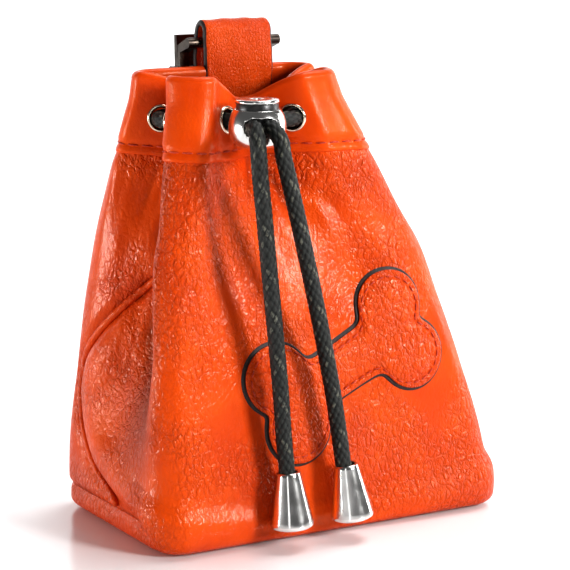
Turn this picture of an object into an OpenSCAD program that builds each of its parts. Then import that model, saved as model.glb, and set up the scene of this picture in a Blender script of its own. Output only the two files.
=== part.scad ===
// Drawstring treat pouch in leather, with a cord lock, bell cord ends and a belt clip.
// Millimetres, +Z up, the front faces -Y, the origin is at the centre of the base's underside.

/* [Bag] */
// Width of the base
base_w = 106; // [98:1:112]
// Depth of the base
base_d = 62; // [58:1:66]
// Height of the sewn panels, up to the neck band
panel_h = 106; // [102:1:110]
// Height of the neck band
band_h = 24; // [22:1:26]
// Thickness of the body leather
leather_t = 2; // [1.6:0.1:2.2]

/* [Neck] */
// Left edge of the panels at the neck
neck_left = -46; // [-48:0.5:-44]
// Right edge of the panels at the neck
neck_right = 20; // [18:0.5:24]
// Depth of the panels at the neck
neck_d = 36; // [34:0.5:38]

/* [Drawcord] */
// Diameter of the braided cord
cord_d = 4.5; // [4:0.1:4.6]
// Distance between the two cords in the lock
cord_gap = 4.7; // [4.7:0.05:4.8]
// Height of the eyelets and of the cord around the neck
cord_z = 117; // [116:0.5:118]

/* [Cord lock] */
// Outer radius of the lock body
lock_r = 7.4; // [7.3:0.05:7.6]
// Height of the lock body
lock_h = 11; // [11:0.1:11.4]
// Turn of the lock about its upright axis
lock_turn = -20; // [-22:1:-18]
// Height of the button above the body
button_rise = 2.4; // [1.8:0.1:2.8]

/* [Cord ends] */
// Height of a bell
bell_h = 16; // [14:0.5:17]
// Radius of a bell's rim
bell_rim_r = 6.2; // [5.6:0.1:6.6]
// Radius of a bell's top
bell_top_r = 3.4; // [3.2:0.1:3.6]

/* [Belt clip] */
// Width of the leather strap that holds the clip
strap_w = 22; // [18:0.5:23]
// Width of the clip
clip_w = 30; // [29:0.5:32]
// Height of the clip's plate
clip_h = 45; // [40:1:48]
// Inside gap for a belt
belt_gap = 4.2; // [3.6:0.1:4.6]

/* [Hidden] */
$fn = 48;

leather = "orangered";
metal = "gainsboro";
cord_colour = "#1c1c1a";
gap = 0.3;
base_corner_r = 6;
base_t = leather_t;
half_w = base_w / 2;
half_d = base_d / 2;
lean_front = atan((half_d - neck_d / 2) / panel_h);
lean_left = atan((neck_left + half_w) / panel_h);
lean_right = atan((half_w - neck_right) / panel_h);

// Neck band wall, seen from above, counter-clockwise from the front valley.
band = [
    [-15, -4], [6, -15], [13, -15], [16, -12], [7, 0], [16, 13], [13, 17],
    [-39, 17], [-42, 13], [-31, 0], [-42, -12], [-39.5, -15], [-36, -15]
];
// Each eyelet: the band's wall that it sits in, and how far along that wall.
eyelets = [[12, 0.52], [9, 0.5], [8, 0.5], [4, 0.5], [3, 0.5], [0, 0.57]];
eyelet_bore_r = 3.1;
eyelet_barrel_r = 3.6;
eyelet_flange_r = 4.5;
eyelet_flange_t = 0.9;
washer_t = 0.6;
barrel_fit = 0.05;

// Lock, in its own frame: +Z up from its underside, -Y is the side that the tails leave.
lock_x = -22;
lock_y = -22.5;
cord_rise = 6.3;
lock_z = cord_z - cord_rise;
cavity_r = 6.05;
button_r = 6;
lock_floor = 1;
slot_h = 5;
slot_w = cord_gap + 5;
button_slot_base = 3.9;
button_travel = 1.2;
button_base = 2.9;
spring_wire_d = 0.5;
spring_turns = 2;

// Round points along the neck cord, in plan, from the lock's left hole round the neck to its right hole.
neck_route = [
    [-26.3, -27.6], [-24.6, -22.6], [-22.7, -17.4], [-22, -14.6], [-23.2, -12.2], [-25.1, -9], [-27, -6],
    [-29.6, -5.4], [-32.6, -7.2], [-34.4, -7.8], [-36.4, -6.1], [-38.6, -4], [-39.6, 0], [-38.6, 4.2],
    [-36.5, 6.5], [-33.4, 8.8], [-29, 10.4], [-20, 10.8], [-8, 10.8], [2, 10.6], [7.4, 9.2], [11.4, 6.5],
    [13.8, 4], [14.6, 0], [13.4, -4], [11.4, -6.1], [9, -7.4], [5, -7.4], [1, -5.4], [-1.6, -7],
    [-3.1, -10.3], [-4.8, -13.2], [-8, -14.7], [-12.6, -14.8], [-16.2, -16], [-18.2, -19], [-19.9, -23.5],
    [-21.9, -29.2]
];
// Round points along each cord's bend, from the lock's front to the point where its tail starts to swing.
left_bend = [
    [-26.6, -28.3, 117], [-27.1, -30.2, 116.9], [-27.8, -32.3, 115.8], [-28.3, -33.9, 113.6],
    [-28.4, -34.4, 112.4]
];
right_bend = [
    [-22.2, -29.9, 117], [-22.5, -31.8, 116.9], [-22.4, -34, 115.8], [-21.9, -35.5, 113.6],
    [-21.7, -35.9, 112.4]
];
// Round points along each tail, from its pivot down to the knot in the bell.
left_route = [
    [-28.4, -34.7, 110], [-28.2, -35, 105], [-27.3, -35.4, 95], [-26.3, -35.8, 83], [-25.1, -36.2, 70],
    [-23.9, -36.5, 57], [-22.8, -36.8, 44], [-22, -37, 32], [-21.3, -37.2, 24], [-20.8, -37.4, 16]
];
right_route = [
    [-21.6, -36.1, 110], [-20.4, -36.3, 105], [-17.9, -36.5, 95], [-15.1, -36.8, 83], [-12.1, -37, 70],
    [-9.3, -37.2, 57], [-6.7, -37.4, 44], [-4.7, -37.6, 32], [-3.5, -37.7, 24], [-2.4, -37.8, 16]
];
bell_wall = 0.8;
bell_neck_h = 4;
bell_fit = 0.2;
knot_r = 3.4;

// Strap and clip: the strap folds over the clip's round bar above the back wall.
strap_x = -8;
strap_t = 1.8;
strap_y = 17;
strap_gap = 3.6;
strap_foot_z = 110;
bar_z = 136.5;
bar_r = 1.5;
strap_top_z = 139.4;
plate_t = 1.5;
plate_y = 21.4;
arm_w = 3;
ear_t = 2;
pin_z = 127;
pin_r = 1;
pin_fit = 0.08;
lever_t = 1.4;
lever_y = plate_y + plate_t + belt_gap;
lever_w = clip_w - 2 * ear_t - 2 * gap;
lever_top_z = 138;
pin_y = lever_y;
knuckle_r = 2.1;
clip_foot_z = bar_z - clip_h;

// Local frame of a leaning wall: X along it, Y up its slope, Z out of it.
module on_wall(distance, lean, turn) {
    rotate([0, 0, turn]) translate([0, -distance, 0]) rotate([90 - lean, 0, 0]) children();
}

// Flat leather panel between two heights, with its four edges in the wall's own X.
module panel(lean, x_low, x_high) {
    low = base_t / cos(lean) + leather_t * tan(lean);
    high = panel_h / cos(lean);
    translate([0, 0, -leather_t]) linear_extrude(leather_t)
        polygon([[x_low[0], low], [x_low[1], low], [x_high[1], high], [x_high[0], high]]);
}

function across(z, low, high) = low + (high - low) * z / panel_h;
function gusset_half(z) = across(z, half_d, neck_d / 2) - leather_t / cos(lean_front) - gap;

module front_panel() {
    color(leather) on_wall(half_d, lean_front, 0)
        panel(lean_front, [-half_w, half_w], [neck_left, neck_right]);
}

module back_panel() {
    color(leather) on_wall(half_d, lean_front, 180)
        panel(lean_front, [-half_w, half_w], [-neck_right, -neck_left]);
}

module gusset(lean, turn) {
    low = gusset_half(base_t);
    high = gusset_half(panel_h);
    color(leather) on_wall(half_w, lean, turn) panel(lean, [-low, low], [-high, high]);
}

module base_panel() {
    inner_w = base_w - 2 * base_corner_r;
    inner_d = base_d - 2 * base_corner_r;
    color(leather) linear_extrude(base_t - 0.02) {
        square([base_w, inner_d], center = true);
        square([inner_w, base_d], center = true);
        for (x = [-1, 1], y = [-1, 1])
            translate([x * inner_w / 2, y * inner_d / 2]) circle(base_corner_r);
    }
}

function heading(p, q) = atan2(q[1] - p[1], q[0] - p[0]);
function next_of(i) = (i + 1) % len(band);
function eyelet_place(i) = let (s = eyelets[i][0], f = eyelets[i][1])
    band[s] * (1 - f) + band[next_of(s)] * f;
function eyelet_turn(i) = let (s = eyelets[i][0]) heading(band[s], band[next_of(s)]);

// Local frame of an eyelet: Z points out of the bag, from the middle of the wall.
module on_eyelet(i) {
    p = eyelet_place(i);
    translate([p[0], p[1], cord_z]) rotate([0, 0, eyelet_turn(i)]) rotate([90, 0, 0]) children();
}

// Point of the band's line moved outward by a distance, with mitred corners.
function out_of(p, q) = unit([q[1] - p[1], p[0] - q[0]]);
function moved(i, distance) = let (
        n = len(band), a = out_of(band[(i + n - 1) % n], band[i]), b = out_of(band[i], band[next_of(i)])
    )
    band[i] + distance * (a + b) / (1 + a * b);
function band_outline(distance) = [for (i = [0 : len(band) - 1]) moved(i, distance)];

module neck_band() {
    color(leather) difference() {
        translate([0, 0, panel_h + 0.02]) linear_extrude(band_h) polygon(band_outline(leather_t / 2));
        translate([0, 0, panel_h - 1]) linear_extrude(band_h + 2) polygon(band_outline(-leather_t / 2));
        for (i = [0 : len(eyelets) - 1]) on_eyelet(i)
            cylinder(h = 3 * leather_t, r = eyelet_barrel_r + barrel_fit, center = true);
    }
}

// Half of a rolled eyelet's section: the barrel through the wall and the round flange outside.
module eyelet(i) {
    half_t = leather_t / 2;
    rim_r = eyelet_flange_t / 2;
    color(metal) on_eyelet(i) rotate_extrude() {
        translate([eyelet_bore_r, -half_t - washer_t])
            square([eyelet_barrel_r - eyelet_bore_r, 2 * half_t + washer_t + rim_r]);
        translate([eyelet_bore_r + rim_r, half_t])
            square([eyelet_flange_r - eyelet_bore_r - 2 * rim_r, eyelet_flange_t]);
        translate([eyelet_bore_r + rim_r, half_t + rim_r]) circle(rim_r);
        translate([eyelet_flange_r - rim_r, half_t + rim_r]) circle(rim_r);
    }
}

module eyelet_washer(i) {
    color(metal) on_eyelet(i) translate([0, 0, -leather_t / 2 - washer_t]) difference() {
        cylinder(h = washer_t, r = eyelet_flange_r);
        translate([0, 0, -1]) cylinder(h = washer_t + 2, r = eyelet_barrel_r + barrel_fit);
    }
}

// Smooth curve through round points, with steps points for each stretch.
function spline_point(a, b, c, d, t) =
    0.5 * (2 * b + (c - a) * t + (2 * a - 5 * b + 4 * c - d) * t * t + (3 * b - a - 3 * c + d) * t * t * t);
function spline(p, steps) = let (n = len(p)) concat(
    [for (i = [0 : n - 2], k = [0 : steps - 1])
        spline_point(p[max(i - 1, 0)], p[i], p[i + 1], p[min(i + 2, n - 1)], k / steps)],
    [p[n - 1]]
);
function unit(v) = v / norm(v);

// Round tube along a line of points; side is a direction that the line never runs along.
// With domed set, the start has a round end centred on the line's first point.
module tube(points, radius, sides, side, domed = false) {
    start_dir = unit(points[1] - points[0]);
    dome = domed ? [75, 50, 25] : [];
    line = concat([for (a = dome) points[0] - start_dir * radius * sin(a)], points);
    radii = concat([for (a = dome) radius * cos(a)], [for (p = points) radius]);
    n = len(line);
    rings = [for (i = [0 : n - 1])
        let (
            along = unit(line[min(i + 1, n - 1)] - line[max(i - 1, 0)]),
            u = unit(cross(along, side)),
            v = cross(u, along)
        )
        for (k = [0 : sides - 1]) line[i] + radii[i] * (u * cos(360 * k / sides) + v * sin(360 * k / sides))
    ];
    skin = [for (i = [0 : n - 2], k = [0 : sides - 1])
        let (m = (k + 1) % sides)
        [i * sides + k, (i + 1) * sides + k, (i + 1) * sides + m, i * sides + m]
    ];
    start_cap = [for (k = [0 : sides - 1]) k];
    end_cap = [for (k = [sides - 1 : -1 : 0]) (n - 1) * sides + k];
    polyhedron(rings, concat(skin, [start_cap, end_cap]), convexity = 8);
}

module neck_cord() {
    color(cord_colour)
        tube(spline([for (p = neck_route) [p[0], p[1], cord_z]], 2), cord_d / 2, 8, [0, 0, 1]);
}

module cord_bend(route) {
    color(cord_colour) tube(spline(route, 2), cord_d / 2, 8, [1, 0, 0]);
}

module tail_cord(route) {
    color(cord_colour) tube(spline(route, 2), cord_d / 2, 8, [1, 0, 0], domed = true);
}

// Frame at the end of a tail, with Z back up along the cord.
module on_tail_end(route) {
    n = len(route);
    up = unit(route[n - 2] - route[n - 1]);
    translate(route[n - 1]) rotate([0, acos(up[2]), atan2(up[1], up[0])]) children();
}

module knot(route) {
    color(cord_colour) on_tail_end(route) translate([0, 0, -knot_r - 0.02]) sphere(knot_r);
}

module bell(route) {
    inner_top = bell_h - bell_neck_h;
    bore_r = cord_d / 2 + bell_fit;
    color(metal) on_tail_end(route) translate([0, 0, -inner_top + 2.5]) rotate_extrude() difference() {
        polygon([
            [0, 0], [bell_rim_r - 0.4, 0], [bell_rim_r, 0.5], [bell_rim_r, 1.2],
            [bell_top_r + 0.1, bell_h - 0.6], [bell_top_r - 0.4, bell_h], [0, bell_h]
        ]);
        polygon([
            [-1, -1], [bell_rim_r - bell_wall, -1], [bell_rim_r - bell_wall, 1.2],
            [bell_top_r + 0.6, inner_top - 1], [bore_r, inner_top], [bore_r, bell_h + 1], [-1, bell_h + 1]
        ]);
    }
}

module in_lock() {
    translate([lock_x, lock_y, lock_z]) rotate([0, 0, lock_turn]) children();
}

// Flat-sided slot with round ends, along Y, for the two cords.
module cord_slot(low, high, length) {
    end_r = (high - low) / 2;
    reach = slot_w / 2 - end_r;
    translate([0, 0, (low + high) / 2]) {
        cube([2 * reach, length, high - low], center = true);
        for (x = [-reach, reach])
            translate([x, 0, 0]) rotate([90, 0, 0]) cylinder(h = length, r = end_r, center = true);
    }
}

module lock_body() {
    edge_r = 2.6;
    color(metal) in_lock() difference() {
        rotate_extrude() {
            square([lock_r - edge_r, lock_h]);
            translate([0, edge_r]) square([lock_r, lock_h - 2 * edge_r]);
            for (z = [edge_r, lock_h - edge_r]) translate([lock_r - edge_r, z]) circle(edge_r);
        }
        translate([0, 0, lock_floor]) cylinder(h = lock_h, r = cavity_r);
        cord_slot(cord_rise - slot_h / 2, cord_rise + slot_h / 2, 3 * lock_r);
    }
}

module lock_button() {
    dome_r = 0.8;
    top = lock_h + button_rise;
    color(metal) in_lock() difference() {
        rotate_extrude() {
            translate([0, button_base]) square([button_r, top - button_base - dome_r]);
            square_top = top - dome_r;
            translate([0, square_top - 0.1]) square([button_r - dome_r, dome_r + 0.1]);
            translate([button_r - dome_r, square_top]) circle(dome_r);
        }
        for (z = [button_slot_base, button_slot_base + button_travel]) cord_slot(z, z + slot_h, 3 * lock_r);
        translate([0, 0, button_slot_base + (slot_h + button_travel) / 2])
            cube([slot_w, 3 * lock_r, button_travel], center = true);
    }
}

// Flat conical spring between the lock's floor and the button.
module lock_spring() {
    wire_r = spring_wire_d / 2;
    low = lock_floor + wire_r + 0.02;
    high = button_base - wire_r - 0.02;
    steps = 16;
    color("silver") in_lock() tube(
        [for (k = [0 : spring_turns * steps])
            let (a = 360 * k / steps, f = k / (spring_turns * steps), r = 4.6 - 1.8 * f)
            [r * cos(a), r * sin(a), low + (high - low) * f]],
        wire_r, 6, [0, 0, 1]
    );
}

// Welt cord along a gusset's curved seam, on the wall's outer side.
module welt(lean, turn, mirrored) {
    welt_r = 1;
    low = [24, 8];
    high = [8, 84];
    bow = -16;
    steps = 14;
    line = [for (k = [0 : steps])
        let (f = k / steps, p = low * (1 - f) + high * f, swell = bow * sin(180 * f))
        [mirrored * (p[0] + swell), p[1], welt_r + 0.1]
    ];
    color(leather) on_wall(half_w, lean, turn) tube(line, welt_r, 8, [0, 0, 1]);
}

// Dog bone seen flat: a bar with two round knobs at each end.
module bone_shape(grow) {
    bone_l = 42;
    bone_bar = 15;
    knob_r = 10;
    knob_y = 8;
    rotate(24) {
        square([bone_l, bone_bar + 2 * grow], center = true);
        for (x = [-1, 1], y = [-1, 1])
            translate([x * bone_l / 2, y * knob_y]) circle(knob_r + grow);
    }
}

applique_x = 0;
applique_y = 48;
underlay_t = 0.5;
applique_t = 1.3;

module applique_underlay() {
    color("#151312") on_wall(half_d, lean_front, 0)
        translate([applique_x, applique_y, 0.02]) linear_extrude(underlay_t) bone_shape(0.9);
}

module bone_applique() {
    color(leather) on_wall(half_d, lean_front, 0)
        translate([applique_x, applique_y, underlay_t + 0.04]) linear_extrude(applique_t) bone_shape(0);
}

// Strap folded over the clip's bar, its two ends on either side of the back wall.
module hanger_strap() {
    inner = strap_gap / 2;
    outer = inner + strap_t;
    color(leather) translate([strap_x - strap_w / 2, strap_y, 0]) rotate([90, 0, 90])
        linear_extrude(strap_w) difference() {
            union() {
                translate([-outer, strap_foot_z]) square([2 * outer, strap_top_z - strap_foot_z]);
                translate([0, strap_top_z]) circle(outer);
            }
            translate([-inner, strap_foot_z - 1]) square([2 * inner, strap_top_z - strap_foot_z + 1]);
            translate([0, strap_top_z]) circle(inner);
        }
}

// Extrudes an outline of Y and Z along X, from one X to another.
module along_x(from, to) {
    translate([from, 0, 0]) rotate([90, 0, 90]) linear_extrude(to - from) children();
}

module clip_plate() {
    left = strap_x - clip_w / 2;
    right = strap_x + clip_w / 2;
    arm_z = bar_z - bar_r;
    plate_top = bar_z - 13;
    color("#3a3630") difference() {
        union() {
            translate([left, strap_y, bar_z]) rotate([0, 90, 0]) cylinder(h = clip_w, r = bar_r);
            for (x = [left, right - arm_w]) along_x(x, x + arm_w) polygon([
                [strap_y, bar_z + bar_r], [plate_y + plate_t, bar_z - 1], [plate_y + plate_t, plate_top - 1],
                [plate_y, plate_top - 1], [plate_y, arm_z - 1.5], [strap_y, arm_z]
            ]);
            along_x(left, right) translate([plate_y, clip_foot_z])
                square([plate_t, plate_top - clip_foot_z]);
            for (x = [left, right - ear_t]) along_x(x, x + ear_t) {
                translate([plate_y, pin_z - knuckle_r]) square([pin_y - plate_y, 2 * knuckle_r]);
                translate([pin_y, pin_z]) circle(knuckle_r);
            }
        }
        translate([left - 1, pin_y, pin_z]) rotate([0, 90, 0]) cylinder(h = clip_w + 2, r = pin_r + 0.03);
    }
}

module clip_lever() {
    left = strap_x - lever_w / 2;
    right = strap_x + lever_w / 2;
    coil_room = 8;
    tip_y = plate_y + plate_t + 0.3;
    color("#4a443c") difference() {
        union() {
            along_x(left, right) polygon([
                [lever_y + 1, lever_top_z], [lever_y + 1 + lever_t, lever_top_z],
                [lever_y + knuckle_r, pin_z], [lever_y + lever_t, clip_foot_z + 6],
                [tip_y + lever_t, clip_foot_z + 1], [tip_y + lever_t + 2, clip_foot_z - 3],
                [tip_y + 2, clip_foot_z - 3.4], [tip_y, clip_foot_z + 0.6],
                [lever_y, clip_foot_z + 6], [lever_y, pin_z]
            ]);
            along_x(left, right) translate([pin_y, pin_z]) circle(knuckle_r);
        }
        translate([left - 1, pin_y, pin_z]) rotate([0, 90, 0])
            cylinder(h = lever_w + 2, r = pin_r + pin_fit);
        translate([strap_x - coil_room / 2, pin_y - 3.5, pin_z - 3]) cube([coil_room, 7, 6]);
    }
}

module clip_pin() {
    head_r = 1.7;
    head_t = 0.8;
    color(metal) translate([strap_x - clip_w / 2 - head_t, pin_y, pin_z]) rotate([0, 90, 0]) {
        cylinder(h = clip_w + 2 * head_t, r = pin_r);
        cylinder(h = head_t - 0.02, r = head_r);
        translate([0, 0, clip_w + head_t + 0.02]) cylinder(h = head_t - 0.02, r = head_r);
    }
}

module clip_spring() {
    wire_r = 0.35;
    turns = 6;
    steps = 12;
    coil_r = pin_r + 0.25 + wire_r;
    pitch = 0.85;
    color("silver") translate([strap_x - turns * pitch / 2, pin_y, pin_z]) tube(
        [for (k = [0 : turns * steps])
            let (a = 360 * k / steps) [pitch * k / steps, coil_r * cos(a), coil_r * sin(a)]],
        wire_r, 6, [1, 0, 0]
    );
}

front_panel();
back_panel();
gusset(lean_left, -90);  // left_gusset
gusset(lean_right, 90);  // right_gusset
base_panel();
neck_band();
welt(lean_left, -90, 1);  // left_welt
welt(lean_right, 90, -1);  // right_welt
bone_applique();
applique_underlay();
hanger_strap();
for (i = [0 : len(eyelets) - 1]) {
    eyelet(i);
    eyelet_washer(i);
}
neck_cord();
lock_body();
lock_button();
lock_spring();
cord_bend(left_bend);  // left_cord_bend
cord_bend(right_bend);  // right_cord_bend
tail_cord(left_route);  // left_tail_cord
knot(left_route);  // left_knot
bell(left_route);  // left_bell
tail_cord(right_route);  // right_tail_cord
knot(right_route);  // right_knot
bell(right_route);  // right_bell
clip_plate();
clip_lever();
clip_pin();
clip_spring();
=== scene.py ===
"""Leather drawstring treat pouch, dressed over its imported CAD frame.

Lengths are in millimetres until a mesh is made.
"""

import math

import bmesh
import bpy
import numpy as np
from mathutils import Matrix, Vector, noise
from mathutils.bvhtree import BVHTree


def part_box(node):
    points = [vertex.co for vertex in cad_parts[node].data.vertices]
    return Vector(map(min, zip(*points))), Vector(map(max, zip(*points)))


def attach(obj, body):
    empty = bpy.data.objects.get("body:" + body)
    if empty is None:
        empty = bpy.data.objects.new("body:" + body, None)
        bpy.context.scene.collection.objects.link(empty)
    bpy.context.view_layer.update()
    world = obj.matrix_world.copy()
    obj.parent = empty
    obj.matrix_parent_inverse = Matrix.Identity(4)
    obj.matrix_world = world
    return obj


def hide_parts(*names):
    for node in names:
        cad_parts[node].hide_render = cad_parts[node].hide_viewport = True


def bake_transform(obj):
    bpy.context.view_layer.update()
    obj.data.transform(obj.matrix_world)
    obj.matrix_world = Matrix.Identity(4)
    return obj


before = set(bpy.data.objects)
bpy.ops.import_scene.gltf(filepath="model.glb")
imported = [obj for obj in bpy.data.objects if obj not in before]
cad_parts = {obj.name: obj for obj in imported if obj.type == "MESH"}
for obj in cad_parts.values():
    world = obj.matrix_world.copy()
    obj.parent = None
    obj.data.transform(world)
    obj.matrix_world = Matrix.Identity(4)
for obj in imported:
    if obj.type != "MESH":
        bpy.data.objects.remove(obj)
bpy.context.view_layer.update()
MM = 0.001
scene = bpy.context.scene

# ---------------------------------------------------------------- camera
CAMERA_AZIMUTH = math.radians(30)
CAMERA_DISTANCE = 0.650
CAMERA_HEIGHT = 0.192
CAMERA_TARGET = Vector((-0.0003, 0.0, 0.0665))
camera_data = bpy.data.cameras.new("camera")
camera_data.sensor_width = 36
camera_data.lens = 143.5
camera = bpy.data.objects.new("camera", camera_data)
scene.collection.objects.link(camera)
camera.location = (
    -CAMERA_DISTANCE * math.sin(CAMERA_AZIMUTH),
    -CAMERA_DISTANCE * math.cos(CAMERA_AZIMUTH),
    CAMERA_HEIGHT,
)
camera.rotation_euler = (CAMERA_TARGET - camera.location).to_track_quat("-Z", "Y").to_euler()
scene.camera = camera


# ---------------------------------------------------------------- materials
class Nodes:
    """Short names for building a node material."""

    def __init__(self, name):
        self.mat = bpy.data.materials.new(name)
        self.mat.use_nodes = True
        self.tree = self.mat.node_tree
        self.shader = self.tree.nodes["Principled BSDF"]
        self.where = self.node("ShaderNodeTexCoord").outputs["Object"]

    def node(self, kind, **values):
        made = self.tree.nodes.new(kind)
        for key, value in values.items():
            setattr(made, key, value)
        return made

    def link(self, a, b):
        self.tree.links.new(a, b)

    def put(self, socket, value):
        if hasattr(value, "links"):
            self.link(value, socket)
        else:
            socket.default_value = value

    def stretched(self, scale):
        made = self.node("ShaderNodeMapping")
        self.link(self.where, made.inputs["Vector"])
        made.inputs["Scale"].default_value = scale
        return made.outputs["Vector"]

    def noise(self, scale, detail=2.0, rough=0.5, vector=None, colour=False):
        made = self.node("ShaderNodeTexNoise")
        self.link(vector or self.where, made.inputs["Vector"])
        made.inputs["Scale"].default_value = scale
        made.inputs["Detail"].default_value = detail
        made.inputs["Roughness"].default_value = rough
        return made.outputs["Color" if colour else "Fac"]

    def cells(self, scale, vector, feature="DISTANCE_TO_EDGE"):
        made = self.node("ShaderNodeTexVoronoi", feature=feature)
        self.link(vector, made.inputs["Vector"])
        made.inputs["Scale"].default_value = scale
        return made.outputs["Distance"]

    def ramp(self, value, low, high, to_low=0.0, to_high=1.0, smooth=True):
        made = self.node("ShaderNodeMapRange")
        made.interpolation_type = "SMOOTHSTEP" if smooth else "LINEAR"
        self.link(value, made.inputs["Value"])
        for key, amount in (("From Min", low), ("From Max", high), ("To Min", to_low), ("To Max", to_high)):
            made.inputs[key].default_value = amount
        return made.outputs["Result"]

    def math(self, how, a, b=0.0):
        made = self.node("ShaderNodeMath", operation=how)
        self.put(made.inputs[0], a)
        self.put(made.inputs[1], b)
        return made.outputs[0]

    def mix(self, share, a, b, how="MIX"):
        made = self.node("ShaderNodeMix", data_type="RGBA", blend_type=how)
        self.put(made.inputs["Factor"], share)
        self.put(made.inputs[6], a)
        self.put(made.inputs[7], b)
        return made.outputs[2]

    def warped(self, vector, scale, amount):
        """The vector shifted by coloured noise, so that cells lose their straight sides."""
        shift = self.node("ShaderNodeVectorMath", operation="MULTIPLY_ADD")
        self.link(self.noise(scale, vector=vector, colour=True), shift.inputs[0])
        shift.inputs[1].default_value = (amount,) * 3
        self.link(vector, shift.inputs[2])
        return shift.outputs[0]

    def bump(self, height, strength, distance, under=None):
        made = self.node("ShaderNodeBump")
        self.link(height, made.inputs["Height"])
        self.put(made.inputs["Strength"], strength)
        made.inputs["Distance"].default_value = distance
        if under is not None:
            self.link(under, made.inputs["Normal"])
        return made.outputs["Normal"]

    def mottled(self, share, a, b):
        """Gives the shader a colour that varies between two."""
        self.link(self.mix(share, a, b), self.shader.inputs["Base Color"])

    def attribute(self, name):
        return self.node("ShaderNodeAttribute", attribute_name=name).outputs["Fac"]


def leather(name, bright, dark, pebble, grain, rough, coat, smooth_areas=True, size=1.0):
    """Full-grain leather: pebbled cells with dark creases between them, over a fine grain."""
    m = Nodes(name)
    along = m.stretched((1.0, 1.0, 0.72))
    path = m.warped(along, 420 / size, 0.0009 * size)
    big = m.ramp(m.cells(560 / size, path), 0.0, 0.27)
    small = m.ramp(m.cells(1150 / size, m.warped(along, 800 / size, 0.0004 * size)), 0.0, 0.22)
    fine = m.noise(3600, 3.0, 0.6)
    slow = m.noise(34, 2.0, 0.5)
    amount = m.ramp(slow, 0.40, 0.62, 0.16, 0.9) if smooth_areas else 0.8
    body = m.math("ADD", m.math("MULTIPLY", big, 0.62), m.math("MULTIPLY", small, 0.38))
    first = m.bump(body, m.math("MULTIPLY", amount, pebble), 0.00040)
    surface = m.bump(fine, grain, 0.00008, first)
    m.link(surface, m.shader.inputs["Normal"])
    m.link(surface, m.shader.inputs["Coat Normal"])
    shade = m.mix(m.ramp(m.noise(55, 3.0, 0.55), 0.3, 0.7), bright, dark)
    darkness = m.math("MULTIPLY", amount, 0.40 * min(1.0, pebble))
    lines = m.math("MULTIPLY", m.math("SUBTRACT", 1.0, body), darkness)
    shade = m.mix(lines, shade, CREASE)
    # painted shade: the colour darkens towards FOLD_SHADE in folds and on the band's inside, by the per-point shade
    # attribute
    shade = m.mix(m.math("MULTIPLY", m.attribute("painted_shade"), 0.85), shade, FOLD_SHADE)
    m.link(shade, m.shader.inputs["Base Color"])
    m.link(m.ramp(body, 0.0, 1.0, rough + 0.16, rough), m.shader.inputs["Roughness"])
    m.shader.inputs["Coat Weight"].default_value = coat
    m.shader.inputs["Coat Roughness"].default_value = 0.12
    m.shader.inputs["Specular IOR Level"].default_value = 0.36
    m.shader.inputs["Specular Tint"].default_value = (1.0, 0.46, 0.16, 1)
    return m.mat


# FOLD_SHADE is the painted shade colour for the folds and the band's inside.
FOLD_SHADE = (0.20, 0.014, 0.001, 1)
ORANGE = (0.74, 0.075, 0.003, 1)
DEEP_ORANGE = (0.60, 0.048, 0.002, 1)
CREASE = (0.24, 0.014, 0.001, 1)
SATIN_ORANGE = (0.78, 0.080, 0.003, 1)
DEEP_SATIN = (0.66, 0.054, 0.002, 1)
hide = leather("pebbled_leather", ORANGE, DEEP_ORANGE, pebble=1.0, grain=0.26, rough=0.36, coat=0.20, size=1.3)
satin = leather("satin_leather", SATIN_ORANGE, DEEP_SATIN, pebble=0.14, grain=0.24, rough=0.36, coat=0.12)
patch = leather(
    "patch_leather", ORANGE, DEEP_ORANGE, pebble=1.0, grain=0.26, rough=0.32, coat=0.26, smooth_areas=False, size=1.4,
)
strap_hide = leather(
    "strap_leather", ORANGE, DEEP_ORANGE, pebble=0.7, grain=0.30, rough=0.40, coat=0.16, smooth_areas=False, size=0.6,
)


def suede():
    m = Nodes("flesh_side")
    fuzz = m.noise(2600, 4.0, 0.7)
    shade = m.mix(m.ramp(m.noise(90, 3.0, 0.6), 0.3, 0.7), (0.46, 0.060, 0.016, 1), (0.30, 0.032, 0.010, 1))
    m.mottled(m.ramp(fuzz, 0.3, 0.7, 0.0, 0.4), shade, (0.16, 0.016, 0.006, 1))
    m.link(m.bump(fuzz, 0.5, 0.00018), m.shader.inputs["Normal"])
    m.shader.inputs["Roughness"].default_value = 0.88
    m.shader.inputs["Sheen Weight"].default_value = 0.3
    return m.mat


def painted_edge():
    m = Nodes("painted_edge")
    flecks = m.noise(1500, 3.0, 0.6)
    m.mottled(m.ramp(flecks, 0.45, 0.7), (0.010, 0.006, 0.005, 1), (0.045, 0.020, 0.014, 1))
    m.link(m.bump(flecks, 0.4, 0.0002), m.shader.inputs["Normal"])
    m.link(m.ramp(flecks, 0.2, 0.8, 0.42, 0.7), m.shader.inputs["Roughness"])
    return m.mat


def thread_stuff():
    m = Nodes("orange_thread")
    twist = m.noise(2400, 2.0, 0.5, m.stretched((1.0, 1.0, 1.4)))
    m.mottled(m.ramp(twist, 0.35, 0.65), (0.62, 0.055, 0.008, 1), (0.36, 0.020, 0.003, 1))
    m.link(m.bump(twist, 0.5, 0.0001), m.shader.inputs["Normal"])
    m.shader.inputs["Roughness"].default_value = 0.6
    return m.mat


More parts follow.
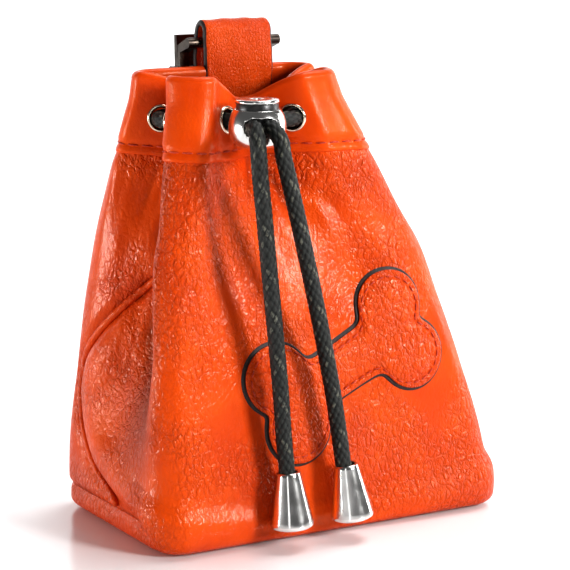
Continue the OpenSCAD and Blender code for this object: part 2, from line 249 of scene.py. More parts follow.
def cord_stuff():
    m = Nodes("braided_cord")
    fibre = m.noise(5200, 2.0, 0.6)
    fleck = m.math("MULTIPLY", m.attribute("fleck"), m.ramp(m.noise(900, 2.0, 0.6), 0.34, 0.60))
    # painted shade and light: each strand's sunk parts are painted darker and its raised parts lighter
    rise = m.ramp(m.attribute("rise"), 0.1, 0.95)
    shade = m.mix(rise, (0.001, 0.001, 0.001, 1), (0.022, 0.024, 0.021, 1))
    shade = m.mix(fleck, shade, (0.13, 0.13, 0.10, 1))
    m.link(shade, m.shader.inputs["Base Color"])
    m.link(m.bump(fibre, 0.55, 0.00012), m.shader.inputs["Normal"])
    m.link(m.ramp(fibre, 0.2, 0.8, 0.48, 0.72), m.shader.inputs["Roughness"])
    m.shader.inputs["Specular IOR Level"].default_value = 0.35
    return m.mat


def metal(name, bright, tint, low, high, scratch):
    m = Nodes(name)
    haze = m.noise(240, 3.0, 0.6)
    lines = m.noise(2600, 2.0, 0.5, m.stretched((1.0, 1.0, 0.08)))
    m.mottled(m.ramp(haze, 0.35, 0.7), bright, tint)
    m.link(m.ramp(haze, 0.3, 0.7, low, high), m.shader.inputs["Roughness"])
    m.link(m.bump(lines, scratch, 0.00002), m.shader.inputs["Normal"])
    m.shader.inputs["Metallic"].default_value = 1.0
    return m.mat


chrome = metal("polished_chrome", (0.86, 0.85, 0.83, 1), (0.74, 0.73, 0.71, 1), 0.14, 0.22, 0.10)
nickel = metal("eyelet_nickel", (0.82, 0.72, 0.58, 1), (0.66, 0.55, 0.42, 1), 0.12, 0.22, 0.15)
bronze = metal("dark_bronze", (0.075, 0.058, 0.045, 1), (0.040, 0.032, 0.028, 1), 0.24, 0.42, 0.30)
spring_steel = metal("spring_steel", (0.40, 0.39, 0.37, 1), (0.30, 0.29, 0.28, 1), 0.22, 0.34, 0.20)


def black_cap():
    m = Nodes("black_cap")
    grain = m.noise(1800, 2.0, 0.5)
    m.mottled(m.ramp(grain, 0.35, 0.65), (0.010, 0.010, 0.010, 1), (0.022, 0.021, 0.020, 1))
    m.link(m.ramp(grain, 0.3, 0.7, 0.30, 0.42), m.shader.inputs["Roughness"])
    m.link(m.bump(grain, 0.15, 0.00005), m.shader.inputs["Normal"])
    return m.mat


flesh = suede()
edge_black = painted_edge()
thread_mat = thread_stuff()
cord_mat = cord_stuff()
cap_black = black_cap()


# ---------------------------------------------------------------- making pieces
def unit(v):
    """Vectors at length 1."""
    v = np.asarray(v, float)
    return v / np.maximum(np.linalg.norm(v, axis=-1, keepdims=True), 1e-9)


def piece(name, points, faces, mats, body, stands_for=(), which=None, smooth=True, values=None):
    """A mesh from points in millimetres; which gives each face's material, values a number for each point."""
    mesh = bpy.data.meshes.new(name)
    mesh.from_pydata((np.asarray(points, float) * MM).tolist(), [], [list(map(int, f)) for f in faces])
    for mat in mats:
        mesh.materials.append(mat)
    if which is not None:
        mesh.polygons.foreach_set("material_index", np.asarray(which, np.int32))
    mesh.polygons.foreach_set("use_smooth", [smooth] * len(mesh.polygons))
    for key, numbers in (values or {}).items():
        mesh.attributes.new(key, "FLOAT", "POINT").data.foreach_set("value", np.asarray(numbers, np.float32))
    mesh.update()
    obj = bpy.data.objects.new(name, mesh)
    scene.collection.objects.link(obj)
    if body:
        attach(obj, body)
    if stands_for:
        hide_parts(*stands_for)
    return obj


def grid_faces(rows, columns, wrap_rows=False, wrap_columns=False, start=0):
    """Quads of a grid whose points run along a row first."""
    i, j = np.meshgrid(
        np.arange(rows if wrap_rows else rows - 1), np.arange(columns if wrap_columns else columns - 1), indexing="ij"
    )
    i, j = i.ravel(), j.ravel()
    a, b = (i + 1) % rows, (j + 1) % columns
    return np.stack([i * columns + j, i * columns + b, a * columns + b, a * columns + j], 1) + start


def tidy_normals(obj, flip=None):
    """Turns a piece's faces outwards, and then over where flip says that they came out the wrong way."""
    bm = bmesh.new()
    bm.from_mesh(obj.data)
    bmesh.ops.recalc_face_normals(bm, faces=bm.faces)
    if flip is not None and flip(bm):
        bmesh.ops.reverse_faces(bm, faces=bm.faces)
    bm.to_mesh(obj.data)
    bm.free()
    return obj


def solid(obj, modifier, **settings):
    """Adds a modifier, and keeps what it makes as the piece's own mesh."""
    m = obj.modifiers.new(modifier.lower(), modifier)
    for key, value in settings.items():
        setattr(m, key, value)
    done = bpy.data.meshes.new_from_object(obj.evaluated_get(bpy.context.evaluated_depsgraph_get()))
    obj.modifiers.clear()
    obj.data = done
    done.polygons.foreach_set("use_smooth", [True] * len(done.polygons))
    return obj


def spline(points, step):
    """Points every step along a Catmull-Rom curve through the given ones."""
    p = np.asarray(points, float)
    p = np.vstack([2 * p[0] - p[1], p, 2 * p[-1] - p[-2]])
    t = np.linspace(0, 1, 24, endpoint=False)[:, None]
    out = []
    for a, b, c, d in zip(p, p[1:], p[2:], p[3:]):
        out.append(0.5 * (2 * b + (c - a) * t + (2 * a - 5 * b + 4 * c - d) * t**2 + (3 * b - a - 3 * c + d) * t**3))
    line = np.vstack(out + [p[-2:-1]])
    far = np.r_[0, np.cumsum(np.linalg.norm(np.diff(line, axis=0), axis=1))]
    at = np.linspace(0, far[-1], max(3, int(round(far[-1] / step)) + 1))
    return np.stack([np.interp(at, far, line[:, k]) for k in range(3)], 1)


def frames(line):
    """Directions along a line, and two across it that don't twist."""
    along = unit(np.gradient(line, axis=0))
    side = np.cross(along[0], (0, 0, 1) if abs(along[0][2]) < 0.9 else (0, 1, 0))
    sides = []
    for direction in along:
        side = unit(side - direction * (side @ direction))
        sides.append(side)
    sides = np.array(sides)
    return along, sides, np.cross(along, sides)


def tube(line, radius, around=12):
    """Points and faces of a closed tube; radius may change along the line."""
    line = np.asarray(line, float)
    along, u, v = frames(line)
    r = np.broadcast_to(np.asarray(radius, float), (len(line),))[:, None, None]
    a = np.linspace(0, 2 * np.pi, around, endpoint=False)[None, :, None]
    points = (line[:, None] + r * (u[:, None] * np.cos(a) + v[:, None] * np.sin(a))).reshape(-1, 3)
    faces = [list(f) for f in grid_faces(len(line), around, wrap_columns=True)]
    faces += [list(range(around))[::-1], list(range((len(line) - 1) * around, len(line) * around))]
    return points, faces


def lathe(profile, around=64, closed=True):
    """Points and faces of a profile of (radius, height) turned about Z."""
    p = np.asarray(profile, float)
    a = np.linspace(0, 2 * np.pi, around, endpoint=False)
    points = np.stack([p[:, :1] * np.cos(a), p[:, :1] * np.sin(a), np.broadcast_to(p[:, 1:], (len(p), around))], -1)
    return points.reshape(-1, 3), grid_faces(len(p), around, wrap_rows=closed, wrap_columns=True)


def rounded(profile, turns=2, closed=True):
    """A profile with its corners cut off again and again."""
    p = np.asarray(profile, float)
    for _ in range(turns):
        q = np.roll(p, -1, axis=0)
        cut = np.stack([0.8 * p + 0.2 * q, 0.2 * p + 0.8 * q], 1).reshape(-1, 2)
        p = cut if closed else np.vstack([p[:1], cut[:-2], p[-1:]])
    return p


def placed(points, origin, x_axis, y_axis, z_axis):
    """Points moved from their own axes to a place on the object."""
    return np.asarray(origin) + points @ np.stack([x_axis, y_axis, z_axis])


# ---------------------------------------------------------------- cords
CORD_D = 4.5
CORD_Z = 117.0
NECK_ROUTE = [
    (-26.3, -27.6), (-24.6, -22.6), (-22.7, -17.4), (-22, -14.6), (-23.2, -12.2), (-25.1, -9), (-27, -6),
    (-29.6, -5.4), (-32.6, -7.2), (-34.4, -7.8), (-36.4, -6.1), (-38.6, -4), (-39.6, 0), (-38.6, 4.2),
    (-36.5, 6.5), (-33.4, 8.8), (-29, 10.4), (-20, 10.8), (-8, 10.8), (2, 10.6), (7.4, 9.2), (11.4, 6.5),
    (13.8, 4), (14.6, 0), (13.4, -4), (11.4, -6.1), (9, -7.4), (5, -7.4), (1, -5.4), (-1.6, -7),
    (-3.1, -10.3), (-4.8, -13.2), (-8, -14.7), (-12.6, -14.8), (-16.2, -16), (-18.2, -19), (-19.9, -23.5),
    (-21.9, -29.2),
]
LEFT_ROUTE = [
    (-26.6, -28.3, 117), (-27.1, -30.2, 116.9), (-27.8, -32.3, 115.8), (-28.3, -33.9, 113.6), (-28.4, -34.7, 110),
    (-28.2, -35, 105), (-27.3, -35.4, 95), (-26.3, -35.8, 83), (-25.1, -36.2, 70), (-23.9, -36.5, 57),
    (-22.8, -36.8, 44), (-22, -37, 32), (-21.3, -37.2, 24), (-20.8, -37.4, 16),
]
RIGHT_ROUTE = [
    (-22.2, -29.9, 117), (-22.5, -31.8, 116.9), (-22.4, -34, 115.8), (-21.9, -35.5, 113.6), (-21.6, -36.1, 110),
    (-20.4, -36.3, 105), (-17.9, -36.5, 95), (-15.1, -36.8, 83), (-12.1, -37, 70), (-9.3, -37.2, 57),
    (-6.7, -37.4, 44), (-4.7, -37.6, 32), (-3.5, -37.7, 24), (-2.4, -37.8, 16),
]
CARRIERS = 8
BRAID_PITCH = 3.0


def braid(
    name, route, body, stands_for, around=50, step=0.42, radius=CORD_D / 2, carriers=CARRIERS, pitch=BRAID_PITCH,
):
    """A tube whose surface is two sets of strands that pass over and under each other."""
    line = spline(route, step)
    along, u, v = frames(line)
    far = np.arange(len(line))[:, None] * step
    a = np.linspace(0, 2 * np.pi, around, endpoint=False)[None, :]
    one = carriers * a / (2 * np.pi) + far / pitch
    two = carriers * a / (2 * np.pi) - far / pitch
    on_top = (np.floor(one) + np.floor(two)) % 2 == 0
    p, q = one % 1 - 0.5, two % 1 - 0.5
    across, length = np.where(on_top, p, q), np.where(on_top, q, p)
    rise = np.sqrt(np.clip(np.cos(np.pi * across) * np.cos(0.82 * np.pi * length), 0, 1))
    strand = np.where(on_top, np.floor(one), np.floor(two) + 1)
    fleck = (strand % 4 == 0) & (np.abs(across) < 0.24) & (np.abs(length) < 0.40)
    r = (radius - 0.38 + 0.48 * rise)[..., None]
    points = line[:, None] + r * (u[:, None] * np.cos(a)[..., None] + v[:, None] * np.sin(a)[..., None])
    faces = [list(f) for f in grid_faces(len(line), around, wrap_columns=True)]
    faces += [list(range(around))[::-1], list(range((len(line) - 1) * around, len(line) * around))]
    values = {"rise": rise.ravel(), "fleck": fleck.ravel().astype(float)}
    made = piece(name, points.reshape(-1, 3), faces, [cord_mat], body, stands_for, values=values)
    return made, line


def knot(name, side):
    """A tight stopper knot: a cord wound into a trefoil, inside the bell."""
    low, high = (np.array(c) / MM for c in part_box(f"{side}_knot"))
    t = np.linspace(0, 2 * np.pi, 90)
    loop = np.stack([np.sin(t) + 2 * np.sin(2 * t), np.cos(t) - 2 * np.cos(2 * t), -1.3 * np.sin(3 * t)], 1) * 0.68
    made, _ = braid(name, loop + (low + high) / 2, f"{side}_tail", (f"{side}_knot",), 20, 0.35, 1.15, 6, 1.6)
    return made


def bell(name, side, route):
    """A turned cone with a rounded rim and a hollow mouth."""
    low, high = (np.array(c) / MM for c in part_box(f"{side}_bell"))
    up = unit(np.array(route[-2]) - np.array(route[-1]))
    x_axis = unit(np.cross(up, (0, 1, 0)))
    profile = [
        (3.05, 15.75), (3.35, 15.4), (3.45, 14.8), (3.75, 13.2), (4.45, 9.6), (5.15, 6.0), (5.85, 2.4), (6.1, 1.3),
        (6.12, 0.75), (5.9, 0.25), (5.45, 0.0), (5.0, 0.15), (4.75, 0.6), (4.6, 1.6), (4.1, 4.6), (3.95, 9.5),
        (2.9, 13.4), (2.5, 14.6), (2.45, 15.5), (2.65, 15.8),
    ]
    points, faces = lathe(profile, 72)
    points = placed(points, (low + high) / 2 - 8 * up, x_axis, np.cross(up, x_axis), up)
    made = piece(name, points, faces, [chrome], f"{side}_tail", (f"{side}_bell",))
    return made


def tail(side, route):
    cord_piece, line = braid(f"{side}_tail_braid", route, None, (f"{side}_cord_bend", f"{side}_tail_cord"))
    knot_piece = knot(f"{side}_knot_braid", side)
    bell_piece = bell(f"{side}_bell_chrome", side, route)
    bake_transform(cord_piece)


tail("left", LEFT_ROUTE)
tail("right", RIGHT_ROUTE)
braid("neck_braid", [(x, y, CORD_Z) for x, y in NECK_ROUTE], "pouch", ("neck_cord",), 40, 0.45)


# ---------------------------------------------------------------- the pouch's wall
NECK_Z = 117.0
HEM_Z = 107.6
RIM_Z = 130.0
WALL_T = 1.8
BASE_Y = 2.2
HALF_W = 57
HALF_D = 34
CORNER_R = 9
# Shares of the way round where the straight runs and the rounded corners meet, from the middle of the front.
TURNS = np.array([0, 0.115, 0.165, 0.335, 0.385, 0.615, 0.665, 0.835, 0.885, 1.0])
FRONT_FOLD, RIGHT_FOLD, LEFT_FOLD = -0.008, 0.25, 0.75


def step_up(x, low, high):
    t = np.clip((x - low) / (high - low), 0, 1)
    return t * t * (3 - 2 * t)


def off(u, centre):
    """How far round u is from centre, the short way."""
    return (u - centre + 0.5) % 1 - 0.5


def fold(u, centre, before, after=None):
    """1 along a fold's bottom, falling to 0 over a share of the way round before it and after it."""
    d = off(u, centre)
    s = np.clip(np.abs(d) / np.where(d < 0, before, before if after is None else after), 0, 1)
    return 0.5 * (1 + np.cos(np.pi * s))


def outline(u, half_x, half_y, r):
    """A rounded rectangle, with u from 0 to 1 counter-clockwise from the middle of its front."""
    u = u % 1
    k = np.clip(np.searchsorted(TURNS, u, side="right") - 1, 0, 8)
    t = (u - TURNS[k]) / (TURNS[k + 1] - TURNS[k])
    x, y = np.zeros_like(t), np.zeros_like(t)
    ex, ey = half_x - r, half_y - r
    for n, (sx, sy) in {1: (1, -1), 3: (1, 1), 5: (-1, 1), 7: (-1, -1)}.items():
        angle = np.radians({1: -90, 3: 0, 5: 90, 7: 180}[n] + 90 * t)
        on = k == n
        x = np.where(on, sx * ex + r * np.cos(angle), x)
        y = np.where(on, sy * ey + r * np.sin(angle), y)
    for n, px, py, qx, qy in (
        (0, 0 * ex, -half_y, ex, -half_y), (2, half_x, -ey, half_x, ey), (4, ex, half_y, -ex, half_y),
        (6, -half_x, ey, -half_x, -ey), (8, -ex, -half_y, 0 * ex, -half_y),
    ):
        on = k == n
        x = np.where(on, px + (qx - px) * t, x)
        y = np.where(on, py + (qy - py) * t, y)
    return x, y


def wall(u, z):
    """Points of the pouch's outside, without wrinkles.

    s runs from 0 at the floor to 1 at the neck, belly is how far the middle bulges, and tuck rounds the foot.
    """
    u, z = np.broadcast_arrays(np.asarray(u, float), np.asarray(z, float))
    s = z / NECK_Z
    belly = np.sin(np.pi * np.clip(z / 122, 0, 1)) ** 0.9
    tuck = 3.6 - np.sqrt(np.clip(3.6**2 - np.clip(3.6 - z, 0, 3.6) ** 2, 0, None))
    half_x = HALF_W - 26.2 * s + 4.2 * belly - tuck
    half_y = HALF_D - 18 * s + 3.0 * belly - tuck
    x, y = outline(u, half_x, half_y, CORNER_R - 1.5 * np.clip(s, 0, 1))
    x = x - 13.6 * s + 0.4 * belly
    y = y + BASE_Y - 1.0 * s
    x = x + 3.4 * np.exp(-((off(u, 0.865) / 0.055) ** 2)) * step_up(z, 70, 116)
    x = x - 2.5 * np.exp(-((off(u, 0.15) / 0.07) ** 2)) * step_up(z, 70, 118)
    front = 3.2 * step_up(z, 50, 84) + 8.0 * step_up(z, 78, 114)
    y = y + front * fold(u, FRONT_FOLD, 0.088 + 0.03 * (1 - step_up(z, 60, 105)))
    low = 1 - step_up(z, 86, 112)
    y = y + 2.8 * step_up(z, 48, 92) * fold(u, -0.078, 0.030, 0.040)
    side = 13.5 * step_up(z, 18, 66) - 0.5 * step_up(z, 80, 110)
    x = x + side * fold(u, LEFT_FOLD + 0.047 * low, 0.095 + 0.035 * low, 0.095 - 0.042 * low)
    x = x - 0.85 * side * fold(u, RIGHT_FOLD - 0.047 * low, 0.095 - 0.042 * low, 0.095 + 0.035 * low)
    return np.stack([x, y, z], -1)


def wall_normal(u, z):
    du, dz = 0.0015, 0.5
    return unit(np.cross(wall(u + du, z) - wall(u - du, z), wall(u, z + dz) - wall(u, z - dz)))


# Side seams: how far back each one is, by height, on a side wall.
SEAM_Z = np.array([6.0, 8.0, 10.5, 18, 27, 37, 47, 63, 80, 94, 106, 112])
SEAM_Y = np.array([-12.0, -6.0, 1.0, 15, 22, 24.5, 22, 9, -7, -4, -1, 0])


def seam_u(z, left=True):
    """Where the side seam crosses a height, as a share of the way round."""
    fine = np.linspace(0.645, 0.845, 260)
    line_z = np.linspace(SEAM_Z[0], SEAM_Z[-1], 220)
    y = np.interp(line_z, SEAM_Z, SEAM_Y)
    y = np.convolve(np.pad(y, 8, mode="edge"), np.ones(17) / 17, mode="valid")
    ys = wall(fine[None, :], line_z[:, None])[..., 1]
    found = fine[np.abs(ys - y[:, None]).argmin(1)]
    found = np.convolve(np.pad(found, 4, mode="edge"), np.ones(9) / 9, mode="valid")
    u = np.interp(z, line_z, found)
    return u if left else 1 - u


def noisy(points, scale, seed=0.0):
    """Smooth noise from -1 to 1 at each point, with its own size along each axis, in millimetres."""
    flat = (points / np.asarray(scale)).reshape(-1, 3) + seed
    return np.array([noise.noise(Vector(p)) for p in flat]).reshape(points.shape[:-1])


def wrinkles(u, z, p):
    """How far the leather stands out from the plain wall."""
    rim = np.stack([np.cos(2 * np.pi * u) * 40, np.sin(2 * np.pi * u) * 40, z], -1)
    out = 1.05 * noisy(p, (19, 19, 24), 3.1)
    gather = np.exp(-np.clip(HEM_Z - z, 0, None) / 17)
    out = out + gather * 0.62 * noisy(rim, (4.2, 4.2, 30), 11.0)
    left = fold(u, 0.765, 0.11) * step_up(z, 25, 60)
    right = fold(u, 0.235, 0.11) * step_up(z, 25, 60)
    out = out + (left + right) * (0.55 * noisy(rim, (3.1, 3.1, 17), 23.0) + 0.45 * noisy(p, (7, 7, 9), 31.0))
    ray = np.arctan2(p[..., 2] - 112, p[..., 0] + 15)
    away = np.hypot(p[..., 2] - 112, p[..., 0] + 15)
    rays = np.sin(ray * 17 + 2.2 * noisy(p, (14, 14, 14), 41.0)) * np.exp(-((away - 20) / 15) ** 2)
    out = out + 0.34 * rays * fold(u, 0.0, 0.13)
    for left_side in (True, False):
        gap_u = off(u, seam_u(z, left_side)) * (230 if left_side else -230)
        slope = np.abs(np.interp(z, SEAM_Z, np.gradient(SEAM_Y, SEAM_Z)))
        gap = gap_u / np.sqrt(1 + slope**2)
        near = (np.abs(gap_u) < 60) & (z < 100)
        groove = -2.0 * np.exp(-((gap / 2.1) ** 2))
        swell = 1.9 * np.exp(-(((gap - 8) / 6.0) ** 2)) * step_up(-z, -90, -60)
        out = out + near * (groove + swell)
    return out


def low_edge(u):
    """Height of the wall's lower edge: near the floor in front, above the turned-up base elsewhere."""
    return 0.9 + 6.6 * step_up(-np.abs(off(u, 0.5)), -0.365, -0.305)


N_ROUND, N_UP = 336, 130
u_grid = (np.arange(N_ROUND) / N_ROUND)[:, None] * np.ones((1, N_UP))
share = np.linspace(0, 1, N_UP)[None, :]
z_grid = low_edge(u_grid) + (HEM_Z + 1.0 - low_edge(u_grid)) * share
plain = wall(u_grid, z_grid)
lift = wrinkles(u_grid, z_grid, plain)
lip = -1.1 * (1 - step_up(z_grid - low_edge(u_grid), 0, 2.2)) * step_up(low_edge(u_grid), 2, 6)
lift = lift * step_up(z_grid - low_edge(u_grid), -1, 6) * (1 - 0.75 * step_up(z_grid, HEM_Z - 5, HEM_Z)) + lip
skin = plain + wall_normal(u_grid, z_grid) * lift[..., None]


def spread_out(grid, across, up):
    """The mean of a grid of points over a window that wraps round the pouch."""
    total = sum(np.roll(grid, k, axis=0) for k in range(-across, across + 1)) / (2 * across + 1)
    ended = np.pad(total, ((0, 0), (up, up), (0, 0)), mode="edge")
    return sum(ended[:, k : k + grid.shape[1]] for k in range(2 * up + 1)) / (2 * up + 1)


# How deep in a fold each point lies, which is painted as shade on the leather there; beside the lobe one more painted
# shade is given.
out_way = wall_normal(u_grid, z_grid)
wide = ((spread_out(skin, 15, 5) - skin) * out_way).sum(-1)
narrow = ((spread_out(skin, 4, 3) - skin) * out_way).sum(-1)
beside_lobe = fold(u_grid, 0.812, 0.075, 0.050) * step_up(z_grid, 10, 42)
painted_shade = np.clip(step_up(wide, 0.5, 3.2) + 0.6 * step_up(narrow, 0.04, 0.34) + 1.0 * beside_lobe, 0, 1)


def faces_inwards(bm):
    """Whether the face that looks most along its line from the pouch's middle looks back at it."""
    middle = Vector((0, 0, 0.05))
    f = max(bm.faces, key=lambda f: abs(f.normal.dot((f.calc_center_median() - middle).normalized())))
    return f.normal.dot(f.calc_center_median() - middle) < 0


def skin_part(name, wanted, stands_for):
    """The faces of the wall between the side seams, as a piece with the leather's thickness."""
    faces = grid_faces(N_ROUND, N_UP, wrap_rows=True)
    faces = faces[wanted][:, ::-1]
    used, back = np.unique(faces, return_inverse=True)
    made = piece(
        name, skin.reshape(-1, 3)[used], back.reshape(-1, 4), [hide, flesh, edge_black], "pouch",
        stands_for, values={"painted_shade": painted_shade.ravel()[used]},
    )
    tidy_normals(made, faces_inwards)
    return solid(made, "SOLIDIFY", thickness=WALL_T * MM, offset=-1, material_offset=1, material_offset_rim=1)


centre_u = (np.arange(N_ROUND) + 0.5) / N_ROUND
corner = grid_faces(N_ROUND, N_UP, wrap_rows=True)
face_z = z_grid.reshape(-1)[corner].mean(1)
face_u = np.repeat(centre_u, N_UP - 1)
in_front = (face_u > seam_u(face_z)) | (face_u < seam_u(face_z, left=False))
front_skin = skin_part("front_skin", in_front, ("front_panel",))
back_skin = skin_part("back_skin", ~in_front, ("back_panel", "left_gusset", "right_gusset"))


def surface_at(u, z, rise=0.0):
    """Points on the wrinkled outside, looked up in the wall's own grid."""
    u, z = np.broadcast_arrays(np.atleast_1d(np.asarray(u, float)), np.asarray(z, float))
    low = low_edge(u)
    i = (u % 1) * N_ROUND
    j = np.clip((z - low) / (HEM_Z + 1.0 - low), 0, 1) * (N_UP - 1)
    i0, j0 = np.floor(i).astype(int) % N_ROUND, np.minimum(np.floor(j).astype(int), N_UP - 2)
    fi, fj = (i - np.floor(i))[:, None], (j - j0)[:, None]
    i1 = (i0 + 1) % N_ROUND
    near = (1 - fj) * skin[i0, j0] + fj * skin[i0, j0 + 1]
    far = (1 - fj) * skin[i1, j0] + fj * skin[i1, j0 + 1]
    p = (1 - fi) * near + fi * far
    return p + wall_normal(u, z) * rise


def welt(name, side):
    """The raised seam that runs down a side wall and forward to the base."""
    z = np.linspace(105, 7.2, 200)
    line = surface_at(seam_u(z, side == "left"), z, 0.55)
    line = spline(line[::5], 0.8)
    size = 1.15 + 0.12 * np.sin(np.arange(len(line)) * 1.3) * 0.5
    size[:3] *= np.array([0.5, 0.8, 0.95])
    size[-3:] *= np.array([0.95, 0.8, 0.5])
    points, faces = tube(line, size, 14)
    return piece(name, points, faces, [hide], "pouch", (f"{side}_welt",))


left_welt, right_welt = welt("left_welt_roll", "left"), welt("right_welt_roll", "right")


# ---------------------------------------------------------------- base
def bottom_looks_up(bm):
    flat = min(bm.faces, key=lambda f: f.calc_center_median().z - 0.001 * len(f.verts))
    return flat.normal.z > 0


def base_tray():
    """The base: a flat bottom whose border turns up inside the wall's lower edge."""
    u = (np.arange(N_ROUND) / N_ROUND)[:, None]
    top = low_edge(u) + 2.6
    rings = []
    for inset in (31.0, 22.0, 14.0, 8.0, 4.6):
        x, y = outline(u, HALF_W - inset, HALF_D - inset, max(CORNER_R - inset, 0.8))
        rings.append(np.concatenate([x, y + BASE_Y, 0.05 + 0.0 * x], 1))
    for t in np.linspace(0.12, 1, 12):
        z = 0.05 + top * t**1.5
        n = wall_normal(u, z)
        rings.append((wall(u, z) + n * (-0.55 - 1.5 * step_up(t, 0.72, 0.95)))[:, 0])
    points = np.array(rings).reshape(-1, 3)
    faces = [list(f)[::-1] for f in grid_faces(len(rings), N_ROUND, wrap_columns=True)]
    faces.append(list(range(N_ROUND))[::-1])
    made = piece("base_tray", points, faces, [hide, flesh], "pouch", ("base_panel",))
    tidy_normals(made, bottom_looks_up)
    return solid(made, "SOLIDIFY", thickness=1.2 * MM, offset=-1, material_offset=1)


base = base_tray()


# ---------------------------------------------------------------- neck band and eyelets
def rim_height(u):
    """The band's top, which dips at each fold."""
    front = 7.5 * np.exp(-((off(u, FRONT_FOLD) / 0.05) ** 2))
    return RIM_Z - front - 3.4 * fold(u, LEFT_FOLD, 0.08) - 3.0 * fold(u, RIGHT_FOLD, 0.08)


def hem_height(u):
    return HEM_Z + 0.5 * np.sin(2 * np.pi * 5 * u) + 1.0 * np.exp(-((off(u, 0.13) / 0.06) ** 2))


def band_out(u, z):
    """The band's own soft unevenness."""
    rim = np.stack([np.cos(2 * np.pi * u) * 40, np.sin(2 * np.pi * u) * 40, z], -1)
    return 0.28 * noisy(rim, (9, 9, 12), 51.0) + 0.16 * noisy(rim, (3, 3, 16), 61.0) * fold(u, 0.62, 0.16)


def neck_band():
    u = (np.arange(N_ROUND) / N_ROUND)[:, None]
    hem, top = hem_height(u), rim_height(u)
    outside = [(-0.3, hem - 1.1), (0.2, hem - 1.0), (0.45, hem - 0.7), (0.5, hem), (0.35, hem + 0.9), (0.05, hem + 1.5),
               (0.35, hem + 2.1), (0.6, hem + 3.0)]
    for t in np.linspace(0.16, 0.9, 14):
        outside.append((0.65 + 0.3 * t, hem + (top - hem) * t))
    roll = [(1.0, top - 1.6), (0.85, top - 0.9), (0.4, top - 0.3), (-0.2, top), (-0.9, top - 0.05), (-1.6, top - 0.45),
            (-2.1, top - 1.2), (-2.3, top - 2.2)]
    inside = [(-2.2, top - 4), (-2.1, top - 8), (-2.1, hem + 7), (-2.1, hem + 2), (-2.2, hem - 1.6), (-1.2, hem - 2.0)]
    rings = []
    for rise, z in outside + roll + inside:
        z = z + 0 * u
        n = wall_normal(u, z)
        n[..., 2] = 0
        n = unit(n)
        rings.append((wall(u, z) + n * (rise + band_out(u, z))[..., None])[:, 0])
    points = np.array(rings).reshape(-1, 3)
    faces = [list(f) for f in grid_faces(len(rings), N_ROUND, wrap_rows=True, wrap_columns=True)]
    # painted shade: the band is darker in its folds and on its turned-in inside, where it faces into the mouth
    valley = fold(u, LEFT_FOLD, 0.055) + fold(u, RIGHT_FOLD, 0.055) + fold(u, FRONT_FOLD, 0.05)
    inner = np.array([0.0] * (len(outside) + 4) + [0.25, 0.5, 0.7, 0.85] + [1.0] * len(inside))
    dark = np.clip(0.75 * valley[:, 0][None, :] + 0.6 * inner[:, None], 0, 1)
    values = {"painted_shade": dark.ravel()}
    return piece("neck_band_roll", points, faces, [satin], "pouch", ("neck_band",), values=values)


def eyelet_frame(n):
    """Where an eyelet sits on the band, and which way it faces."""
    low, high = (np.array(c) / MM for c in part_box(f"eyelet_{n}"))
    want = (low + high)[:2] / 2
    fine = np.linspace(0, 1, 1500, endpoint=False)
    u = fine[np.linalg.norm(wall(fine, NECK_Z)[:, :2] - want, axis=1).argmin()]
    z_axis = wall_normal(np.array([u]), np.array([CORD_Z]))[0]
    y_axis = unit(np.array((0, 0, 1.0)) - z_axis * z_axis[2])
    return wall(u, CORD_Z) - 0.35 * z_axis, np.cross(y_axis, z_axis), y_axis, z_axis


def eyelets(band):
    outer = [(2.9, -2.9), (2.9, -0.2), (2.95, 0.9), (3.1, 1.6), (3.4, 1.95), (3.8, 1.9), (4.1, 1.5), (4.15, 1.05),
             (3.95, 0.8), (3.4, 0.75), (3.15, 0.4), (3.1, -2.9)]
    inner = [(3.15, -2.2), (4.2, -2.25), (4.5, -2.6), (4.3, -3.0), (3.6, -3.15), (3.12, -2.95)]
    cut_points, cut_faces = [], []
    for n in range(1, 7):
        place = eyelet_frame(n)
        points, faces = lathe(rounded(outer, 1), 48)
        ring = placed(points, *place)
        piece(f"eyelet_{n}_ring", ring, faces, [nickel], "pouch", (f"eyelet_{n}",))
        points, faces = lathe(rounded(inner, 1), 48)
        washer = placed(points, *place)
        piece(f"eyelet_{n}_back", washer, faces, [nickel], "pouch", (f"eyelet_washer_{n}",))
        points, faces = tube([(0, 0, -6), (0, 0, 0), (0, 0, 5)], 3.25, 32)
        cut_faces += [[k + len(cut_points) for k in f] for f in faces]
        cut_points += placed(points, *place).tolist()
    return cut(band, cut_points, cut_faces)


def cut(obj, points, faces):
    """Cuts a shape, given by points and faces, out of a piece."""
    mesh = bpy.data.meshes.new("cutter")
    mesh.from_pydata((np.asarray(points) * MM).tolist(), [], [list(map(int, f)) for f in faces])
    cutter = tidy_normals(bpy.data.objects.new("cutter", mesh))
    scene.collection.objects.link(cutter)
    bpy.context.view_layer.update()
    solid(obj, "BOOLEAN", object=cutter, operation="DIFFERENCE", solver="EXACT", use_self=True)
    bpy.data.objects.remove(cutter)
    return obj


band = eyelets(tidy_normals(neck_band()))


